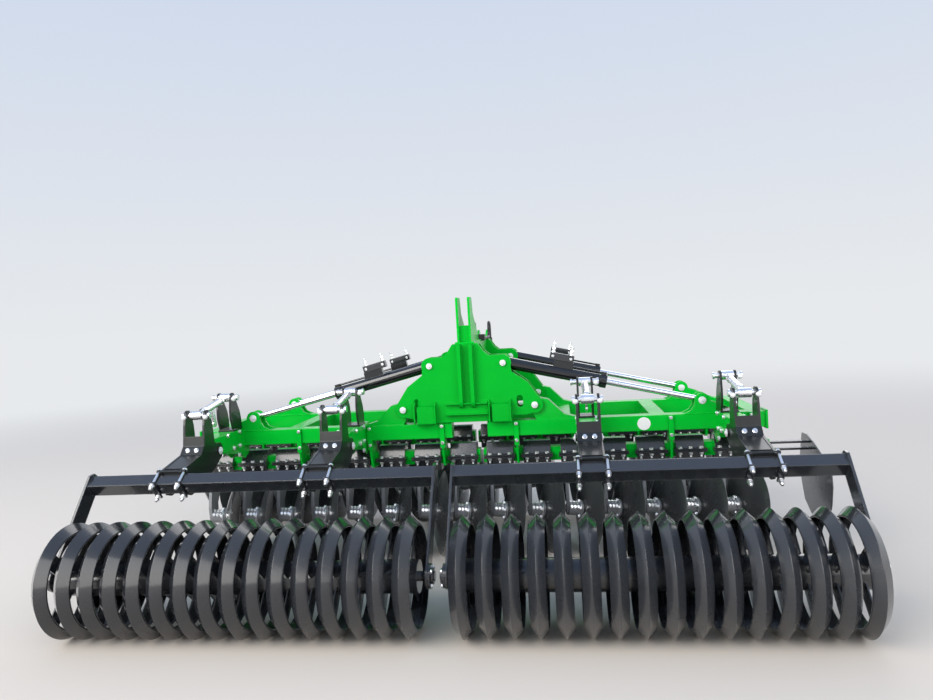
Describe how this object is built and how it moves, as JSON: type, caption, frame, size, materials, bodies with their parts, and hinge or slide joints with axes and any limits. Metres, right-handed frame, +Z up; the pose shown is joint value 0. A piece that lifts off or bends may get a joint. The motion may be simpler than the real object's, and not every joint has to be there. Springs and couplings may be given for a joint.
{
  "type": "mounted disc harrow",
  "caption": "Mounted disc harrow with two hydraulically folding wings, two rows of individually sprung dished discs and two ring rollers.",
  "frame": {"origin": "centre of the top link pin bore in the mast, on the machine centre line", "axes": "+X to the right as seen from behind, +Y forward in the driving direction, +Z up"},
  "size_m": [4.387, 2.7618, 1.738],
  "materials": {
    "arm_paint": "semi gloss dark grey paint",
    "black_paint": "semi gloss black paint",
    "chrome": "hard chrome",
    "disc_steel": "dark painted boron steel",
    "green_paint": "gloss bright green paint",
    "hose_rubber": "matt black rubber",
    "zinc": "bright zinc plate"
  },
  "bodies": {
    "root": {"tower": "green_paint", "rear_mast": "green_paint", "headstock": "green_paint", "hoses": "hose_rubber"},
    "wing_right": {"wing_frame_right": "green_paint", "row_beams_right": "green_paint", "clamp_housings_right": "black_paint", "disc_arms_right": "arm_paint", "roller_frame_right": "black_paint", "roller_arms_right": "black_paint", "spindles_right": "zinc", "side_plate_right": "black_paint"},
    "roller_right": {"roller_right": "black_paint"},
    "barrel_rear_right": {"barrel_rear_right": "black_paint"},
    "rod_rear_right": {"rod_rear_right": "chrome"},
    "barrel_front_right": {"barrel_front_right": "black_paint"},
    "rod_front_right": {"rod_front_right": "chrome"},
    "wing_left": {"wing_frame_left": "green_paint", "row_beams_left": "green_paint", "clamp_housings_left": "black_paint", "disc_arms_left": "arm_paint", "roller_frame_left": "black_paint", "roller_arms_left": "black_paint", "spindles_left": "zinc"},
    "roller_left": {"roller_left": "black_paint"},
    "barrel_rear_left": {"barrel_rear_left": "black_paint"},
    "rod_rear_left": {"rod_rear_left": "chrome"},
    "barrel_front_left": {"barrel_front_left": "black_paint"},
    "rod_front_left": {"rod_front_left": "chrome"},
    "disc_rear_right_1": {"disc_rear_right_1": "disc_steel"},
    "disc_rear_right_2": {"disc_rear_right_2": "disc_steel"},
    "disc_rear_right_3": {"disc_rear_right_3": "disc_steel"},
    "disc_rear_right_4": {"disc_rear_right_4": "disc_steel"},
    "disc_rear_right_5": {"disc_rear_right_5": "disc_steel"},
    "disc_rear_right_6": {"disc_rear_right_6": "disc_steel"},
    "disc_rear_right_7": {"disc_rear_right_7": "disc_steel"},
    "disc_front_right_1": {"disc_front_right_1": "disc_steel"},
    "disc_front_right_2": {"disc_front_right_2": "disc_steel"},
    "disc_front_right_3": {"disc_front_right_3": "disc_steel"},
    "disc_front_right_4": {"disc_front_right_4": "disc_steel"},
    "disc_front_right_5": {"disc_front_right_5": "disc_steel"},
    "disc_front_right_6": {"disc_front_right_6": "disc_steel"},
    "disc_front_right_7": {"disc_front_right_7": "disc_steel"},
    "disc_front_right_8": {"disc_front_right_8": "disc_steel"},
    "disc_rear_left_1": {"disc_rear_left_1": "disc_steel"},
    "disc_rear_left_2": {"disc_rear_left_2": "disc_steel"},
    "disc_rear_left_3": {"disc_rear_left_3": "disc_steel"},
    "disc_rear_left_4": {"disc_rear_left_4": "disc_steel"},
    "disc_rear_left_5": {"disc_rear_left_5": "disc_steel"},
    "disc_rear_left_6": {"disc_rear_left_6": "disc_steel"},
    "disc_rear_left_7": {"disc_rear_left_7": "disc_steel"},
    "disc_rear_left_8": {"disc_rear_left_8": "disc_steel"},
    "disc_front_left_1": {"disc_front_left_1": "disc_steel"},
    "disc_front_left_2": {"disc_front_left_2": "disc_steel"},
    "disc_front_left_3": {"disc_front_left_3": "disc_steel"},
    "disc_front_left_4": {"disc_front_left_4": "disc_steel"},
    "disc_front_left_5": {"disc_front_left_5": "disc_steel"},
    "disc_front_left_6": {"disc_front_left_6": "disc_steel"},
    "disc_front_left_7": {"disc_front_left_7": "disc_steel"},
    "disc_front_left_8": {"disc_front_left_8": "disc_steel"}
  },
  "joints": [
    {"name": "wing_fold_right", "type": "hinge", "parent": "root", "child": "wing_right", "pos_m": [0.443, -1.135, -0.437], "axis": [0, -1, 0], "range_deg": [0, 90]},
    {"name": "roller_spin_right", "type": "hinge", "parent": "wing_right", "child": "roller_right", "pos_m": [1.0335, -2.4, -1.138], "axis": [1, 0, 0], "continuous": true},
    {"name": "barrel_swing_rear_right", "type": "hinge", "parent": "root", "child": "barrel_rear_right", "pos_m": [0.247, -1.135, -0.15], "axis": [0, -1, 0], "range_deg": [0, 88.3]},
    {"name": "rod_slide_rear_right", "type": "slide", "parent": "barrel_rear_right", "child": "rod_rear_right", "axis": [-0.9723, 0, 0.2339], "range_m": [0, 0.491]},
    {"name": "barrel_swing_front_right", "type": "hinge", "parent": "root", "child": "barrel_front_right", "pos_m": [0.247, -0.345, -0.15], "axis": [0, -1, 0], "range_deg": [0, 88.3]},
    {"name": "rod_slide_front_right", "type": "slide", "parent": "barrel_front_right", "child": "rod_front_right", "axis": [-0.9723, 0, 0.2339], "range_m": [0, 0.491]},
    {"name": "wing_fold_left", "type": "hinge", "parent": "root", "child": "wing_left", "pos_m": [-0.443, -1.135, -0.437], "axis": [0, 1, 0], "range_deg": [0, 90]},
    {"name": "roller_spin_left", "type": "hinge", "parent": "wing_left", "child": "roller_left", "pos_m": [-1.1235, -2.4, -1.138], "axis": [1, 0, 0], "continuous": true},
    {"name": "barrel_swing_rear_left", "type": "hinge", "parent": "root", "child": "barrel_rear_left", "pos_m": [-0.247, -1.135, -0.15], "axis": [0, 1, 0], "range_deg": [0, 88.3]},
    {"name": "rod_slide_rear_left", "type": "slide", "parent": "barrel_rear_left", "child": "rod_rear_left", "axis": [0.9723, 0, 0.2339], "range_m": [0, 0.491]},
    {"name": "barrel_swing_front_left", "type": "hinge", "parent": "root", "child": "barrel_front_left", "pos_m": [-0.247, -0.345, -0.15], "axis": [0, 1, 0], "range_deg": [0, 88.3]},
    {"name": "rod_slide_front_left", "type": "slide", "parent": "barrel_front_left", "child": "rod_front_left", "axis": [0.9723, 0, 0.2339], "range_m": [0, 0.491]},
    {"name": "spin_disc_rear_right_1", "type": "hinge", "parent": "wing_right", "child": "disc_rear_right_1", "pos_m": [0.1475, -1.155, -1.14484], "axis": [0.947, 0.2895, -0.1392], "continuous": true},
    {"name": "spin_disc_rear_right_2", "type": "hinge", "parent": "wing_right", "child": "disc_rear_right_2", "pos_m": [0.3975, -1.155, -1.14484], "axis": [0.947, 0.2895, -0.1392], "continuous": true},
    {"name": "spin_disc_rear_right_3", "type": "hinge", "parent": "wing_right", "child": "disc_rear_right_3", "pos_m": [0.6475, -1.155, -1.14484], "axis": [0.947, 0.2895, -0.1392], "continuous": true},
    {"name": "spin_disc_rear_right_4", "type": "hinge", "parent": "wing_right", "child": "disc_rear_right_4", "pos_m": [0.8975, -1.155, -1.14484], "axis": [0.947, 0.2895, -0.1392], "continuous": true},
    {"name": "spin_disc_rear_right_5", "type": "hinge", "parent": "wing_right", "child": "disc_rear_right_5", "pos_m": [1.1475, -1.155, -1.14484], "axis": [0.947, 0.2895, -0.1392], "continuous": true},
    {"name": "spin_disc_rear_right_6", "type": "hinge", "parent": "wing_right", "child": "disc_rear_right_6", "pos_m": [1.3975, -1.155, -1.14484], "axis": [0.947, 0.2895, -0.1392], "continuous": true},
    {"name": "spin_disc_rear_right_7", "type": "hinge", "parent": "wing_right", "child": "disc_rear_right_7", "pos_m": [1.6475, -1.155, -1.14484], "axis": [0.947, 0.2895, -0.1392], "continuous": true},
    {"name": "spin_disc_front_right_1", "type": "hinge", "parent": "wing_right", "child": "disc_front_right_1", "pos_m": [0.1025, -0.365, -1.14484], "axis": [-0.947, 0.2895, -0.1392], "continuous": true},
    {"name": "spin_disc_front_right_2", "type": "hinge", "parent": "wing_right", "child": "disc_front_right_2", "pos_m": [0.3525, -0.365, -1.14484], "axis": [-0.947, 0.2895, -0.1392], "continuous": true},
    {"name": "spin_disc_front_right_3", "type": "hinge", "parent": "wing_right", "child": "disc_front_right_3", "pos_m": [0.6025, -0.365, -1.14484], "axis": [-0.947, 0.2895, -0.1392], "continuous": true},
    {"name": "spin_disc_front_right_4", "type": "hinge", "parent": "wing_right", "child": "disc_front_right_4", "pos_m": [0.8525, -0.365, -1.14484], "axis": [-0.947, 0.2895, -0.1392], "continuous": true},
    {"name": "spin_disc_front_right_5", "type": "hinge", "parent": "wing_right", "child": "disc_front_right_5", "pos_m": [1.1025, -0.365, -1.14484], "axis": [-0.947, 0.2895, -0.1392], "continuous": true},
    {"name": "spin_disc_front_right_6", "type": "hinge", "parent": "wing_right", "child": "disc_front_right_6", "pos_m": [1.3525, -0.365, -1.14484], "axis": [-0.947, 0.2895, -0.1392], "continuous": true},
    {"name": "spin_disc_front_right_7", "type": "hinge", "parent": "wing_right", "child": "disc_front_right_7", "pos_m": [1.6025, -0.365, -1.14484], "axis": [-0.947, 0.2895, -0.1392], "continuous": true},
    {"name": "spin_disc_front_right_8", "type": "hinge", "parent": "wing_right", "child": "disc_front_right_8", "pos_m": [1.8525, -0.365, -1.14484], "axis": [-0.947, 0.2895, -0.1392], "continuous": true},
    {"name": "spin_disc_rear_left_1", "type": "hinge", "parent": "wing_left", "child": "disc_rear_left_1", "pos_m": [-0.1025, -1.155, -1.14484], "axis": [0.947, 0.2895, -0.1392], "continuous": true},
    {"name": "spin_disc_rear_left_2", "type": "hinge", "parent": "wing_left", "child": "disc_rear_left_2", "pos_m": [-0.3525, -1.155, -1.14484], "axis": [0.947, 0.2895, -0.1392], "continuous": true},
    {"name": "spin_disc_rear_left_3", "type": "hinge", "parent": "wing_left", "child": "disc_rear_left_3", "pos_m": [-0.6025, -1.155, -1.14484], "axis": [0.947, 0.2895, -0.1392], "continuous": true},
    {"name": "spin_disc_rear_left_4", "type": "hinge", "parent": "wing_left", "child": "disc_rear_left_4", "pos_m": [-0.8525, -1.155, -1.14484], "axis": [0.947, 0.2895, -0.1392], "continuous": true},
    {"name": "spin_disc_rear_left_5", "type": "hinge", "parent": "wing_left", "child": "disc_rear_left_5", "pos_m": [-1.1025, -1.155, -1.14484], "axis": [0.947, 0.2895, -0.1392], "continuous": true},
    {"name": "spin_disc_rear_left_6", "type": "hinge", "parent": "wing_left", "child": "disc_rear_left_6", "pos_m": [-1.3525, -1.155, -1.14484], "axis": [0.947, 0.2895, -0.1392], "continuous": true},
    {"name": "spin_disc_rear_left_7", "type": "hinge", "parent": "wing_left", "child": "disc_rear_left_7", "pos_m": [-1.6025, -1.155, -1.14484], "axis": [0.947, 0.2895, -0.1392], "continuous": true},
    {"name": "spin_disc_rear_left_8", "type": "hinge", "parent": "wing_left", "child": "disc_rear_left_8", "pos_m": [-1.8525, -1.155, -1.14484], "axis": [0.947, 0.2895, -0.1392], "continuous": true},
    {"name": "spin_disc_front_left_1", "type": "hinge", "parent": "wing_left", "child": "disc_front_left_1", "pos_m": [-0.1475, -0.365, -1.14484], "axis": [-0.947, 0.2895, -0.1392], "continuous": true},
    {"name": "spin_disc_front_left_2", "type": "hinge", "parent": "wing_left", "child": "disc_front_left_2", "pos_m": [-0.3975, -0.365, -1.14484], "axis": [-0.947, 0.2895, -0.1392], "continuous": true},
    {"name": "spin_disc_front_left_3", "type": "hinge", "parent": "wing_left", "child": "disc_front_left_3", "pos_m": [-0.6475, -0.365, -1.14484], "axis": [-0.947, 0.2895, -0.1392], "continuous": true},
    {"name": "spin_disc_front_left_4", "type": "hinge", "parent": "wing_left", "child": "disc_front_left_4", "pos_m": [-0.8975, -0.365, -1.14484], "axis": [-0.947, 0.2895, -0.1392], "continuous": true},
    {"name": "spin_disc_front_left_5", "type": "hinge", "parent": "wing_left", "child": "disc_front_left_5", "pos_m": [-1.1475, -0.365, -1.14484], "axis": [-0.947, 0.2895, -0.1392], "continuous": true},
    {"name": "spin_disc_front_left_6", "type": "hinge", "parent": "wing_left", "child": "disc_front_left_6", "pos_m": [-1.3975, -0.365, -1.14484], "axis": [-0.947, 0.2895, -0.1392], "continuous": true},
    {"name": "spin_disc_front_left_7", "type": "hinge", "parent": "wing_left", "child": "disc_front_left_7", "pos_m": [-1.6475, -0.365, -1.14484], "axis": [-0.947, 0.2895, -0.1392], "continuous": true},
    {"name": "spin_disc_front_left_8", "type": "hinge", "parent": "wing_left", "child": "disc_front_left_8", "pos_m": [-1.8975, -0.365, -1.14484], "axis": [-0.947, 0.2895, -0.1392], "continuous": true}
  ],
  "couplings": [
    {"joint": "barrel_swing_rear_right", "follows": "wing_fold_right", "ratio": 0.98084},
    {"joint": "rod_slide_rear_right", "follows": "wing_fold_right", "m_per_rad": 0.31228},
    {"joint": "barrel_swing_front_right", "follows": "wing_fold_right", "ratio": 0.98084},
    {"joint": "rod_slide_front_right", "follows": "wing_fold_right", "m_per_rad": 0.31228},
    {"joint": "barrel_swing_rear_left", "follows": "wing_fold_left", "ratio": 0.98084},
    {"joint": "rod_slide_rear_left", "follows": "wing_fold_left", "m_per_rad": 0.31228},
    {"joint": "barrel_swing_front_left", "follows": "wing_fold_left", "ratio": 0.98084},
    {"joint": "rod_slide_front_left", "follows": "wing_fold_left", "m_per_rad": 0.31228}
  ]
}
